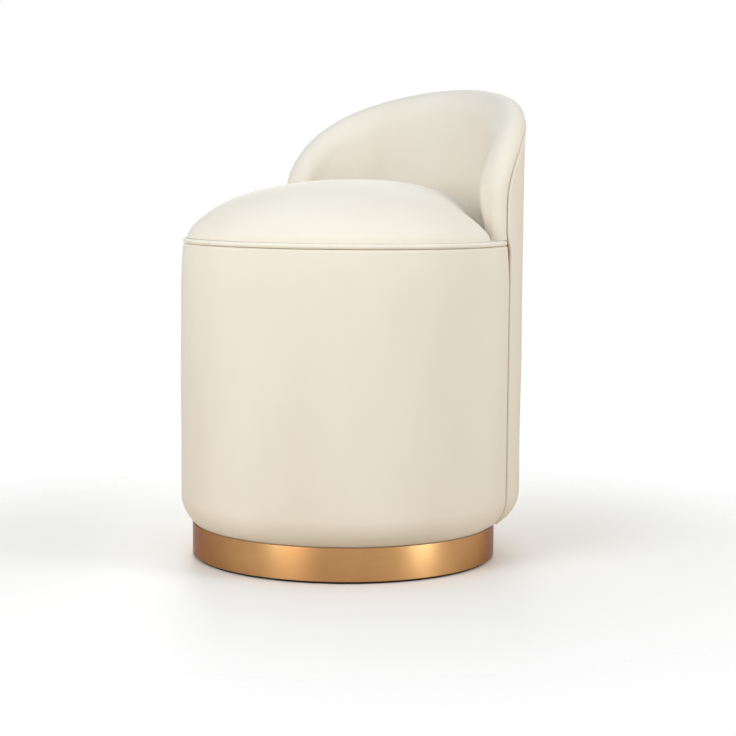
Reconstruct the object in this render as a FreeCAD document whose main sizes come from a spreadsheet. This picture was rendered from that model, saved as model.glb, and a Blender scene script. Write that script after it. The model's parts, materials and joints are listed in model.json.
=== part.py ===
import FreeCAD, Part
import math
import os
import re
import Sketcher
from FreeCAD import Placement, Rotation, Vector

# Round pouf with a crowned seat and a low wrap-round back, on a metal-banded plinth.
# Millimetres and degrees. The origin is on the floor, on the drum's axis; the front faces -Y, and +Z is up.
doc = FreeCAD.newDocument("pouf")

DRIVING = {
    # Plan of the body: a round drum, with a rear arc that bulges past it between two side seams
    "drum_radius": 204.0,
    "seam_angle": 63.0,
    "rear_bulge": 42.0,
    "back_depth": 44.4,
    # Plinth
    "floor_ring_thickness": 3.0,
    "floor_ring_width": 14.0,
    "floor_ring_inset": 4.0,
    "band_radius": 190.0,
    "band_thickness": 1.2,
    "band_gap": 1.0,
    "plinth_board_thickness": 12.0,
    "plinth_board_width": 58.0,
    "plinth_block_height": 16.0,
    "plinth_block_depth": 40.0,
    "plinth_block_length": 50.0,
    "dust_cover_thickness": 0.8,
    # Frame
    "base_board_thickness": 18.0,
    "seat_board_thickness": 12.0,
    "wall_thickness": 3.0,
    "back_board_thickness": 9.0,
    "post_depth": 35.0,
    "post_width": 45.0,
    "side_post_angle": 70.0,
    "rear_post_angle": 50.0,
    "shelf_overhang": 12.0,
    "vent_diameter": 22.0,
    "vent_circle": 70.0,
    # Soft layers
    "cover_thickness": 2.0,
    "drum_foam_thickness": 15.0,
    "rear_foam_thickness": 8.0,
    "flange_setback": 25.0,
    "bottom_round_radius": 45.0,
    "bottom_round_height": 35.0,
    "foam_lift": 5.0,
    "wall_setback": 1.0,
    "draw_in": 3.0,
    "draw_in_height": 60.0,
    # Seat: the height is that of the piping's centre
    "seat_height": 394.0,
    "seat_piping_diameter": 7.0,
    "seat_edge_inset": 5.0,
    "seat_crown": 72.0,
    "seat_foam_base_thickness": 16.0,
    # Back
    "back_top": 589.0,
    "arch_spring": 447.0,
    "arm_end_angle": 86.0,
    "seam_drop": 12.0,
    "ridge_inset": 18.4,
    "roll_drop": 9.0,
    "roll_depth": 35.0,
    "arm_nose": 20.0,
    "frame_arch_drop": 6.0,
    "back_piping_diameter": 5.0,
    "piping_proud": 1.5,
    # Fasteners
    "screw_diameter": 5.0,
    "screw_head_diameter": 9.0,
    "screw_head_height": 3.5,
    "screw_bite": 30.0,
    "plinth_screw_bite": 12.0,
    "pin_diameter": 2.0,
    "pin_head_diameter": 4.0,
    "pin_head_height": 0.8,
    "pin_bite": 14.0,
    "pin_offset": 8.0,
    "staple_width": 10.0,
    "staple_wire": 0.8,
    "staple_leg": 6.0,
    # Room left between pieces that must not bear on each other
    "clearance": 0.3,
}

DERIVED = {
    "rear_reach": "drum_radius + rear_bulge",
    "rear_centre": "(rear_reach^2 - drum_radius^2) / (2 * (rear_reach - drum_radius * cos(seam_angle)))",
    "rear_radius": "rear_reach - rear_centre",
    "seam_turn": "acos((drum_radius * cos(seam_angle) - rear_centre) / rear_radius) / 1 deg",
    "inner_radius": "rear_radius - back_depth",
    "underside": "floor_ring_thickness + 2 * plinth_board_thickness + plinth_block_height",
    "round_centre": "underside + bottom_round_height",
    "plinth_radius": "band_radius - band_thickness",
    "plinth_inner_radius": "plinth_radius - plinth_board_width",
    "block_ring": "plinth_radius - plinth_board_width / 2",
    "flange_radius": "plinth_inner_radius - flange_setback",
    "frame_radius": "drum_radius - cover_thickness - drum_foam_thickness - wall_thickness",
    "board_outer": "rear_radius - cover_thickness - rear_foam_thickness",
    "board_inner": "board_outer - back_board_thickness",
    "base_bottom": "underside + cover_thickness",
    "base_top": "base_bottom + base_board_thickness",
    "seat_board_top": "seat_height + seat_piping_diameter / 2",
    "seat_board_bottom": "seat_board_top - seat_board_thickness",
    "soft_bottom": "seat_board_top + clearance",
    "drum_top": "seat_height - seat_piping_diameter / 2 - clearance",
    "post_ring": "sqrt((frame_radius - clearance)^2 - post_width^2 / 4) - post_depth / 2",
    "rear_post_ring": "sqrt((board_inner - clearance)^2 - post_width^2 / 4) - post_depth / 2",
    "staple_circle": "flange_radius + staple_width",
    "seam_gap": "back_piping_diameter / 2 + clearance",
}

# Shape of the arches and of the seat's crown, as powers of a superellipse
RIDGE_POWER = 1.95
SEAM_POWER = 1.8
CROWN_POWER = 1.85
# How much fuller the crown stays towards the back than towards the front
CROWN_FULLNESS = 0.6
ARCH_STEPS = 9
CROWN_ANGLES = (0, 10, 20, 30, 40, 50, 60, 70, 80)

FRONT_POSTS = 6
REAR_POSTS = 3
BLOCKS = 6
VENTS = 4
DUST_STAPLES = 12
FRONT_STAPLES = 14
REAR_STAPLES = 5


# The spreadsheet and the formulas that read it

def fill_sheet(name, rows):
    sheet = doc.addObject("Spreadsheet::Sheet", name)
    for row, (alias, content) in enumerate(rows.items(), start=1):
        sheet.set(f"A{row}", alias)
        sheet.set(f"B{row}", content)
        sheet.setAlias(f"B{row}", alias)
    return sheet


def named(formula):
    """The formula with each size's name written with its sheet."""
    def with_sheet(match):
        word = match.group(0)
        if word in DRIVING:
            return "sizes." + word
        return "derived." + word if word in DERIVED else word
    return re.sub(r"[a-z_]+", with_sheet, str(formula))


sizes = fill_sheet("sizes", {alias: str(number) for alias, number in DRIVING.items()})
derived = fill_sheet("derived", {alias: "=" + named(formula) for alias, formula in DERIVED.items()})
doc.recompute()


def value(formula):
    result = sizes.evalExpression(named(formula))
    return float(getattr(result, "Value", result))


def tie(thing, prop, formula):
    thing.setExpression(prop, named(formula))


def place(thing, x=0, y=0, z=0, turn=0):
    """Bind a piece's place, and its turn about the vertical, to formulas."""
    thing.Placement = Placement(Vector(0, 0, 0), Rotation(Vector(0, 0, 1), value(turn)))
    tie(thing, ".Placement.Base.x", x)
    tie(thing, ".Placement.Base.y", y)
    tie(thing, ".Placement.Base.z", z)
    if turn != 0:
        tie(thing, ".Placement.Rotation.Angle", turn)


# Sketches and bodies

def new_body(label):
    body = doc.addObject("PartDesign::Body", label)
    body.Label = label
    return body


def new_sketch(body, role, height=0):
    sketch = body.newObject("Sketcher::SketchObject", body.Name + "_sketch")
    plane = next(item for item in body.Origin.OriginFeatures if item.Role == role)
    sketch.AttachmentSupport = (plane, "")
    sketch.MapMode = "FlatFace"
    if height != 0:
        tie(sketch, ".AttachmentOffset.Base.z", height)
    return sketch


def constrain(sketch, kind, geometry, point, formula):
    """One distance from the sketch's origin, along X or Y, bound to a formula."""
    index = sketch.addConstraint(
        Sketcher.Constraint(kind, -1, 1, geometry, point, value(formula)))
    tie(sketch, f"Constraints[{index}]", formula)


def add_circle(sketch, radius, x="0", y="0"):
    centre = Vector(value(x), value(y), 0)
    geometry = sketch.addGeometry(Part.Circle(centre, Vector(0, 0, 1), value(radius)))
    constrain(sketch, "DistanceX", geometry, 3, x)
    constrain(sketch, "DistanceY", geometry, 3, y)
    index = sketch.addConstraint(Sketcher.Constraint("Radius", geometry, value(radius)))
    tie(sketch, f"Constraints[{index}]", radius)


def add_arc(sketch, start, end, centre, radius):
    """The shorter arc from start to end, and which of its ends is the start."""
    turns = [math.atan2(p.y - centre.y, p.x - centre.x) for p in (start, end)]
    forward = (turns[1] - turns[0]) % (2 * math.pi) < math.pi
    if not forward:
        turns.reverse()
    circle = Part.Circle(centre, Vector(0, 0, 1), value(radius))
    geometry = sketch.addGeometry(Part.ArcOfCircle(circle, turns[0], turns[1]))
    index = sketch.addConstraint(Sketcher.Constraint("Radius", geometry, value(radius)))
    tie(sketch, f"Constraints[{index}]", radius)
    return geometry, (1, 2) if forward else (2, 1)


def add_outline(sketch, corners, arcs=None):
    """A closed outline through corners, with arcs {corner: (centre x, centre y, radius)} after some."""
    arcs = arcs or {}
    points = [Vector(value(x), value(y), 0) for x, y in corners]
    edges = []
    for i, start in enumerate(points):
        end = points[(i + 1) % len(points)]
        if i in arcs:
            x, y, radius = arcs[i]
            edges.append(add_arc(sketch, start, end, Vector(value(x), value(y), 0), radius))
        else:
            edges.append((sketch.addGeometry(Part.LineSegment(start, end)), (1, 2)))
    for i, (geometry, ends) in enumerate(edges):
        following, following_ends = edges[(i + 1) % len(edges)]
        sketch.addConstraint(
            Sketcher.Constraint("Coincident", geometry, ends[1], following, following_ends[0]))
    for (geometry, ends), (x, y) in zip(edges, corners):
        constrain(sketch, "DistanceX", geometry, ends[0], x)
        constrain(sketch, "DistanceY", geometry, ends[0], y)


def pad(body, sketch, length):
    feature = body.newObject("PartDesign::Pad", body.Name + "_pad")
    feature.Profile = sketch
    tie(feature, "Length", length)
    return feature


def pocket(body, sketch, length, upward):
    """Cut the sketch's shape from the body, and make sure that it really cuts."""
    doc.recompute()
    before = body.Shape.Volume
    feature = body.newObject("PartDesign::Pocket", body.Name + "_pocket")
    feature.Profile = sketch
    feature.Reversed = upward
    tie(feature, "Length", length)
    doc.recompute()
    if body.Shape.Volume >= before:
        raise RuntimeError(body.Label + ": a pocket cut nothing")
    return feature


def polar(body, feature, sketch, count, total=360):
    pattern = body.newObject("PartDesign::PolarPattern", body.Name + "_pattern")
    pattern.Originals = [feature]
    pattern.Axis = (sketch, ["N_Axis"])
    pattern.Occurrences = count
    tie(pattern, "Angle", total)
    body.Tip = pattern


def disc(label, radius, height, z, inner=None):
    body = new_body(label)
    sketch = new_sketch(body, "XY_Plane")
    add_circle(sketch, radius)
    if inner:
        add_circle(sketch, inner)
    pad(body, sketch, height)
    place(body, z=z)
    return body


def revolved(label, corners, arcs, angle, centre_y="0", to_front=False):
    """An outline of (radius, height) corners, turned by half the angle each way from the rear or front."""
    body = new_body(label)
    sketch = new_sketch(body, "YZ_Plane")
    add_outline(sketch, corners, arcs)
    turn = body.newObject("PartDesign::Revolution", label + "_turn")
    turn.Profile = sketch
    turn.ReferenceAxis = (sketch, ["V_Axis"])
    turn.Midplane = True
    tie(turn, "Angle", angle)
    place(body, y=centre_y, turn=180 if to_front else 0)
    return body


# Primitives and booleans

def cylinder(name, radius, height, x=0, y=0, z=0):
    thing = doc.addObject("Part::Cylinder", name)
    tie(thing, "Radius", radius)
    tie(thing, "Height", height)
    place(thing, x, y, z)
    return thing


def box(name, length, width, height, x=0, y=0, z=0):
    thing = doc.addObject("Part::Box", name)
    for prop, formula in (("Length", length), ("Width", width), ("Height", height)):
        tie(thing, prop, formula)
    place(thing, x, y, z)
    return thing


def group(label, things):
    thing = doc.addObject("Part::Compound", label)
    thing.Links = things
    thing.Label = label
    return thing


def combine(kind, label, base, tool):
    thing = doc.addObject("Part::" + kind, label)
    thing.Base = base
    thing.Tool = tool
    thing.Label = label
    return thing


def joined(name, things):
    thing = doc.addObject("Part::MultiFuse", name)
    thing.Shapes = things
    return thing


# Where the fasteners and posts stand, as formulas

def on_circle(ring, angle, centre_y="0"):
    """A spot at an angle from the rear, about the drum's axis or another centre behind it."""
    return f"({ring}) * sin({angle})", f"{centre_y} + ({ring}) * cos({angle})"


def front_post_angle(k):
    return f"side_post_angle + (360 - 2 * side_post_angle) * {k} / {FRONT_POSTS - 1}"


def rear_post_angle(k):
    return f"rear_post_angle * {k - (REAR_POSTS - 1) // 2}"


POSTS = [(f"front_post_{k + 1}", front_post_angle(k), on_circle("post_ring", front_post_angle(k)))
         for k in range(FRONT_POSTS)]
POSTS += [(f"rear_post_{k + 1}", rear_post_angle(k),
           on_circle("rear_post_ring", rear_post_angle(k), "rear_centre"))
          for k in range(REAR_POSTS)]
BLOCK_ANGLES = [(k + 0.5) * 360 / BLOCKS for k in range(BLOCKS)]
BLOCK_SPOTS = [on_circle("block_ring", angle) for angle in BLOCK_ANGLES]


def screws(label, spots, head_z, shank_z, shank_length):
    """Screws that stand upright at each spot, each a head and a shank."""
    made = []
    for k, (x, y) in enumerate(spots, start=1):
        head = cylinder(f"{label}_head_{k}", "screw_head_diameter / 2", "screw_head_height", x, y, head_z)
        shank = cylinder(f"{label}_shank_{k}", "screw_diameter / 2", shank_length, x, y, shank_z)
        made.append(joined(f"{label}_{k}", [head, shank]))
    return group(label, made)


def bores(label, spots, diameter, depth, z):
    """Round holes that stand upright at each spot."""
    return group(label, [
        cylinder(f"{label}_{k}", f"({diameter}) / 2", depth, x, y, z)
        for k, (x, y) in enumerate(spots, start=1)])


def staples(label, spots, crown_z):
    """Staples driven upwards at each (angle from the rear, circle) spot, with the crown underneath."""
    made = []
    for k, (angle, ring) in enumerate(spots, start=1):
        name = f"{label}_{k}"
        crown = box(name + "_crown", "staple_width", "staple_wire", "staple_wire")
        legs = [box(f"{name}_leg_{side}", "staple_wire", "staple_wire", "staple_leg", x=x, z="staple_wire")
                for side, x in enumerate(("0", "staple_width - staple_wire"))]
        staple = joined(name, [crown] + legs)
        x, y = on_circle(ring, angle)
        along = f"staple_width / 2 * cos({angle})"
        across = f"staple_width / 2 * sin({angle})"
        place(staple, f"{x} - {along}", f"{y} + {across}", crown_z, f"-({angle})")
        made.append(staple)
    return group(label, made)


# Plinth

def make_plinth_bores():
    """Clear holes for the plinth's screws, up to the base board."""
    return bores("plinth_bores", BLOCK_SPOTS, "screw_diameter + 2 * clearance", "base_bottom", 0)


def make_plinth(screw_bores):
    inner = "plinth_inner_radius"
    lower_z = "floor_ring_thickness"
    block_z = "floor_ring_thickness + plinth_board_thickness"
    upper_z = "floor_ring_thickness + plinth_board_thickness + plinth_block_height"
    ring_outer = "band_radius - floor_ring_inset"
    ring_inner = f"{ring_outer} - floor_ring_width"
    floor_ring = disc("floor_ring", ring_outer, "floor_ring_thickness", 0, ring_inner)

    plinth_screws = screws(
        "plinth_screws", BLOCK_SPOTS, f"{lower_z} + clearance", f"{lower_z} + clearance",
        "base_bottom + plinth_screw_bite - floor_ring_thickness - clearance")
    head_bores = bores("plinth_head_bores", BLOCK_SPOTS, "screw_head_diameter + 2 * clearance",
                       "floor_ring_thickness + screw_head_height + clearance", 0)

    dust_radius = f"{ring_inner} - clearance"
    dust_z = "floor_ring_thickness - dust_cover_thickness"
    dust_spots = [((k + 0.5) * 360 / DUST_STAPLES, f"{dust_radius} - staple_width")
                  for k in range(DUST_STAPLES)]
    dust_staples = staples("dust_cover_staples", dust_spots, f"{dust_z} - staple_wire")
    dust_disc = disc("dust_disc", dust_radius, "dust_cover_thickness", dust_z)
    dust_cover = combine("Cut", "dust_cover", dust_disc, dust_staples)

    pins, pin_bores = make_pins((lower_z, upper_z))
    lower = disc("plinth_lower_ring", "plinth_radius", "plinth_board_thickness", lower_z, inner)
    for tool in (screw_bores, head_bores, dust_staples, pin_bores):
        lower = combine("Cut", "plinth_lower_board_" + tool.Name, lower, tool)
    lower.Label = "plinth_lower_board"
    upper = disc("plinth_upper_ring", "plinth_radius", "plinth_board_thickness", upper_z, inner)
    for tool in (screw_bores, pin_bores):
        upper = combine("Cut", "plinth_upper_board_" + tool.Name, upper, tool)
    upper.Label = "plinth_upper_board"

    half_gap = "band_gap / (2 * band_radius) * 180 / pi"
    corners = [("plinth_radius", lower_z), ("band_radius", lower_z),
               ("band_radius", "underside"), ("plinth_radius", "underside")]
    band = revolved("plinth_band_strip", corners, None, f"360 - 2 * {half_gap}", to_front=True)
    band = combine("Cut", "plinth_band", band, pin_bores)
    blocks = [make_block(k, angle, block_z) for k, angle in enumerate(BLOCK_ANGLES, start=1)]
    return [floor_ring, lower, upper, band, pins, plinth_screws, dust_cover, dust_staples] + blocks


def make_block(k, angle, z):
    body = new_body(f"plinth_block_{k}")
    sketch = new_sketch(body, "XY_Plane")
    add_outline(sketch, rectangle("plinth_block_length", "plinth_block_depth"))
    add_circle(sketch, "screw_diameter / 2 + clearance")
    pad(body, sketch, "plinth_block_height")
    x, y = on_circle("block_ring", angle)
    place(body, x, y, z, f"-({angle})")
    return body


def rectangle(width, depth):
    signs = ((-1, -1), (1, -1), (1, 1), (-1, 1))
    return [(f"{sx} * ({width}) / 2", f"{sy} * ({depth}) / 2") for sx, sy in signs]


def make_pins(board_bottoms):
    """Pins through the band, each side of its joint at the rear, into the edges of the plinth's boards."""
    made = []
    bores = []
    for k, bottom in enumerate(board_bottoms):
        for side in (-1, 1):
            name = f"band_pin_{k}_{side + 1}"
            x = f"{side} * pin_offset"
            z = f"{bottom} + plinth_board_thickness / 2"
            shank = cylinder(name + "_shank", "pin_diameter / 2", "pin_bite",
                             x, "band_radius - pin_bite", z)
            head = cylinder(name + "_head", "pin_head_diameter / 2", "pin_head_height", x, "band_radius", z)
            bore = cylinder(name + "_bore", "pin_diameter / 2 + clearance", "pin_bite + band_thickness",
                            x, "band_radius - pin_bite - clearance", z)
            for thing in (shank, head, bore):
                thing.Placement = Placement(thing.Placement.Base, Rotation(Vector(1, 0, 0), -90))
            made.append(joined(name, [shank, head]))
            bores.append(bore)
    return group("band_pins", made), group("band_pin_bores", bores)


# Frame

def make_post(label, angle, spot):
    body = new_body(label)
    outline = new_sketch(body, "XY_Plane")
    add_outline(outline, rectangle("post_width", "post_depth"))
    height = "seat_board_bottom - base_top"
    pad(body, outline, height)
    for z, upward in ((0, True), (height, False)):
        sketch = new_sketch(body, "XY_Plane", z)
        add_circle(sketch, "screw_diameter / 2")
        pocket(body, sketch, "screw_bite", upward)
    place(body, spot[0], spot[1], "base_top", f"-({angle})")
    return body


def make_frame(cover_staples):
    posts = [make_post(*post) for post in POSTS]
    spots = [spot for _, _, spot in POSTS]

    base_screws = screws("base_board_screws", spots, "base_bottom", "base_bottom",
                         "base_board_thickness + screw_bite")
    base_holes = [
        bores("base_bores", spots, "screw_diameter", "base_board_thickness", "base_bottom"),
        bores("base_head_bores", spots, "screw_head_diameter", "screw_head_height", "base_bottom"),
        bores("base_plinth_bores", BLOCK_SPOTS, "screw_diameter", "plinth_screw_bite", "base_bottom"),
        cover_staples]
    base = joined("base_panel", [
        disc("base_disc", "frame_radius", "base_board_thickness", "base_bottom"),
        cylinder("base_rear", "board_inner - clearance", "base_board_thickness",
                 0, "rear_centre", "base_bottom")])
    base.Refine = True
    for tool in base_holes:
        base = combine("Cut", "base_board_" + tool.Name, base, tool)
    base.Label = "base_board"

    seat_screws = screws("seat_board_screws", spots, "seat_board_top - screw_head_height",
                         "seat_board_bottom - screw_bite", "seat_board_thickness + screw_bite")
    seat_holes = [
        bores("seat_bores", spots, "screw_diameter", "seat_board_thickness", "seat_board_bottom"),
        bores("seat_head_bores", spots, "screw_head_diameter", "screw_head_height",
              "seat_board_top - screw_head_height")]
    seat = disc("seat_panel", "frame_radius", "seat_board_thickness", "seat_board_bottom")
    vent = new_sketch(seat, "XY_Plane", "seat_board_thickness")
    add_circle(vent, "vent_diameter / 2", "vent_circle", "0")
    polar(seat, pocket(seat, vent, "seat_board_thickness", False), vent, VENTS)
    shelf_reach = "board_inner - clearance"
    shelf_y = f"rear_centre + ({shelf_reach}) * cos(rear_post_angle + shelf_overhang)"
    shelf_disc = cylinder("shelf_disc", shelf_reach, "seat_board_thickness",
                          0, "rear_centre", "seat_board_bottom")
    shelf_hole = cylinder("shelf_hole", "frame_radius + clearance", "seat_board_thickness",
                          0, 0, "seat_board_bottom")
    shelf_trim = box("shelf_trim", "2 * rear_radius", "rear_radius", "seat_board_thickness",
                     "-rear_radius", shelf_y, "seat_board_bottom")
    shelf = combine("Cut", "shelf_crescent", shelf_disc, shelf_hole)
    shelf = combine("Common", "shelf_trimmed", shelf, shelf_trim)
    for tool in seat_holes:
        seat = combine("Cut", "seat_board_" + tool.Name, seat, tool)
        shelf = combine("Cut", "back_shelf_" + tool.Name, shelf, tool)
    seat.Label = "seat_board"
    shelf.Label = "back_shelf"

    wall = [("frame_radius", FOAM_BOTTOM), ("frame_radius + wall_thickness", FOAM_BOTTOM),
            ("frame_radius + wall_thickness", "seat_board_top"), ("frame_radius", "seat_board_top")]
    front_wall = revolved("front_wall", wall, None, FRONT_SPAN + " - 2 * wall_setback", to_front=True)
    return posts + [base, base_screws, seat, seat_screws, shelf, front_wall]


# Outer covers and foam of the drum, and the rear panel, in radial section

FRONT_SPAN = "360 - 2 * seam_angle - 2 * seam_gap / drum_radius * 180 / pi"
FOAM_SPAN = "2 * seam_turn - 3 * frame_arch_drop / rear_radius * 180 / pi"
FOAM_ROUND = "(bottom_round_radius - cover_thickness - clearance)"


def tucked(share):
    """How low a layer may reach into the bottom rounding, as a share of the rounding's height."""
    return f"max(base_bottom + foam_lift; round_centre - {share} * {FOAM_ROUND})"


FOAM_BOTTOM = tucked(0.65)
BACK_BOARD_BOTTOM = tucked(0.5)
REAR_FOAM_BOTTOM = tucked(0.45)


def rounded_reach(radius, bend, drop):
    """How far out the bottom rounding of an outer radius is, at a drop below the rounding's centre."""
    return f"{radius} - bottom_round_radius + sqrt(({bend})^2 - ({drop})^2)"


def cover_profile(radius, flange, top_corners):
    """A cover's section: flange, rounded bottom and wall outside, then the same inside."""
    outer_bend = "bottom_round_radius"
    inner_bend = "(bottom_round_radius - cover_thickness)"
    centre = (f"{radius} - bottom_round_radius", "round_centre")
    corners = [(flange, "underside"),
               (rounded_reach(radius, outer_bend, "bottom_round_height"), "underside"),
               (radius, "round_centre")]
    corners += top_corners
    corners += [(f"{radius} - cover_thickness", "round_centre"),
                (rounded_reach(radius, inner_bend, "bottom_round_height - cover_thickness"), "base_bottom"),
                (flange, "base_bottom")]
    inner_start = len(corners) - 3
    return corners, {1: centre + (outer_bend,), inner_start: centre + (inner_bend,)}


def foam_profile(radius, inner, bottom, top_corners):
    """A foam layer's section, with its outer edge rounded at the bottom."""
    outer = f"{radius} - cover_thickness - clearance"
    corners = [(inner, bottom),
               (rounded_reach(radius, FOAM_ROUND, f"round_centre - {bottom}"), bottom),
               (outer, "round_centre")]
    corners += top_corners
    return corners, {1: (f"{radius} - bottom_round_radius", "round_centre", FOAM_ROUND)}


def make_drum(flange_holes):
    # The wall draws in under the seat's piping, along a long arc
    shoulder = "drum_top - draw_in_height"
    bend = "(draw_in^2 + draw_in_height^2) / (2 * draw_in)"

    def drawn_in(radius):
        return f"{radius} - {bend}", shoulder, bend

    inside = "drum_radius - cover_thickness"
    cover_top = [("drum_radius", shoulder), ("drum_radius - draw_in", "drum_top"),
                 (f"{inside} - draw_in", "drum_top"), (inside, shoulder)]
    corners, arcs = cover_profile("drum_radius", "flange_radius", cover_top)
    arcs[3] = drawn_in("drum_radius")
    arcs[5] = drawn_in(inside)
    cover = revolved("drum_cover_skin", corners, arcs, FRONT_SPAN, to_front=True)
    for tool in flange_holes:
        cover = combine("Cut", "drum_cover_" + tool.Name, cover, tool)
    cover.Label = "drum_cover"

    inner = "frame_radius + wall_thickness"
    outer = f"{inside} - clearance"
    foam_top = [(outer, shoulder), (f"{outer} - draw_in", "drum_top"), (inner, "drum_top")]
    corners, arcs = foam_profile("drum_radius", inner, FOAM_BOTTOM, foam_top)
    arcs[3] = drawn_in(outer)
    foam = revolved("drum_foam", corners, arcs, FRONT_SPAN + " - 2 * wall_setback", to_front=True)

    piping = new_body("seat_piping")
    sketch = new_sketch(piping, "YZ_Plane")
    add_circle(sketch, "seat_piping_diameter / 2", "drum_radius - draw_in", "seat_height")
    turn = piping.newObject("PartDesign::Revolution", "seat_piping_turn")
    turn.Profile = sketch
    turn.ReferenceAxis = (sketch, ["V_Axis"])
    turn.Midplane = True
    tie(turn, "Angle", FRONT_SPAN)
    place(piping, turn=180)
    return [cover, foam, piping]


# The back, in vertical sections that stand round the rear arc's centre

def superellipse(share, power):
    return (1 - min(abs(share), 1) ** power) ** (1 / power)


def arch(angle, end_angle, top, power):
    """Height of an arch that springs upright at both end angles and is highest at the rear."""
    spring = value("arch_spring")
    return spring + (top - spring) * superellipse(angle / end_angle, power)


def stations(end_angle):
    """Angles from end to end, closer together where the arch is steep."""
    return [end_angle * math.sin(math.radians(90 * k / ARCH_STEPS))
            for k in range(-ARCH_STEPS, ARCH_STEPS + 1)]


def at(angle, reach, height):
    """The point at an angle from the rear, a distance from the rear arc's centre, and a height."""
    turn = math.radians(angle)
    return Vector(reach * math.sin(turn), value("rear_centre") + reach * math.cos(turn), height)


def scripted(label, shape):
    thing = doc.addObject("Part::Feature", label)
    thing.Label = label
    thing.Shape = shape
    thing.Placement = Placement()
    return thing


def arch_block(name, end_angle, top, inner, outer, bottom):
    """All that lies under an arch, between two radii and two end angles."""
    wires = []
    for angle in stations(end_angle):
        height = arch(angle, end_angle, top, SEAM_POWER)
        corners = [at(angle, inner, bottom), at(angle, outer, bottom),
                   at(angle, outer, height), at(angle, inner, height)]
        wires.append(Part.makePolygon(corners + corners[:1]))
    return scripted(name, Part.makeLoft(wires, True, False))


def back_section(angle, end_angle, inset, rear_inset, bottom):
    """One upright section of the back: inner wall, rolled top and outer wall, set in from the outside."""
    rear = value("rear_radius")
    ridge_reach = rear - value("ridge_inset")
    nose = value("arm_nose")
    to_end = math.radians(end_angle - abs(angle)) * ridge_reach
    fullness = 1.0
    if to_end < nose:
        fullness = math.sqrt(1 - (1 - to_end / nose) ** 2)
    top = arch(angle, end_angle, value("back_top") - inset, RIDGE_POWER)
    run_in = (value("back_depth - ridge_inset") - inset) * fullness
    run_out = (value("ridge_inset") - rear_inset) * fullness
    drop_in = value("roll_depth") * fullness
    drop_out = value("roll_drop") * fullness
    diagonal = math.cos(math.radians(45))
    bend = (run_out ** 2 + drop_out ** 2) / (2 * drop_out)
    half_turn = math.asin(run_out / bend) / 2

    def point(across, height):
        return at(angle, ridge_reach + across, height)

    inner_foot = point(-run_in, bottom)
    inner_top = point(-run_in, top - drop_in)
    inner_mid = point(-run_in * diagonal, top - drop_in * (1 - diagonal))
    ridge = point(0, top)
    outer_mid = point(bend * math.sin(half_turn), top - bend * (1 - math.cos(half_turn)))
    outer_top = point(run_out, top - drop_out)
    outer_foot = point(run_out, bottom)
    edges = [Part.LineSegment(outer_foot, inner_foot), Part.LineSegment(inner_foot, inner_top),
             Part.Arc(inner_top, inner_mid, ridge), Part.Arc(ridge, outer_mid, outer_top),
             Part.LineSegment(outer_top, outer_foot)]
    return Part.Wire([edge.toShape() for edge in edges])


def back_form(inset, rear_inset, bottom):
    """The back's padded form, from arm end to arm end."""
    rear = value("rear_radius")
    end_angle = value("arm_end_angle") - math.degrees(inset / (rear - value("ridge_inset")))
    angles = stations(end_angle)
    # The end sections keep a narrow blunt nose
    blunt = end_angle - math.degrees(value("arm_nose") / 20 / rear)
    angles[0], angles[-1] = -blunt, blunt
    wires = [back_section(angle, end_angle, inset, rear_inset, bottom) for angle in angles]
    return Part.makeLoft(wires, True, False)


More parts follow.
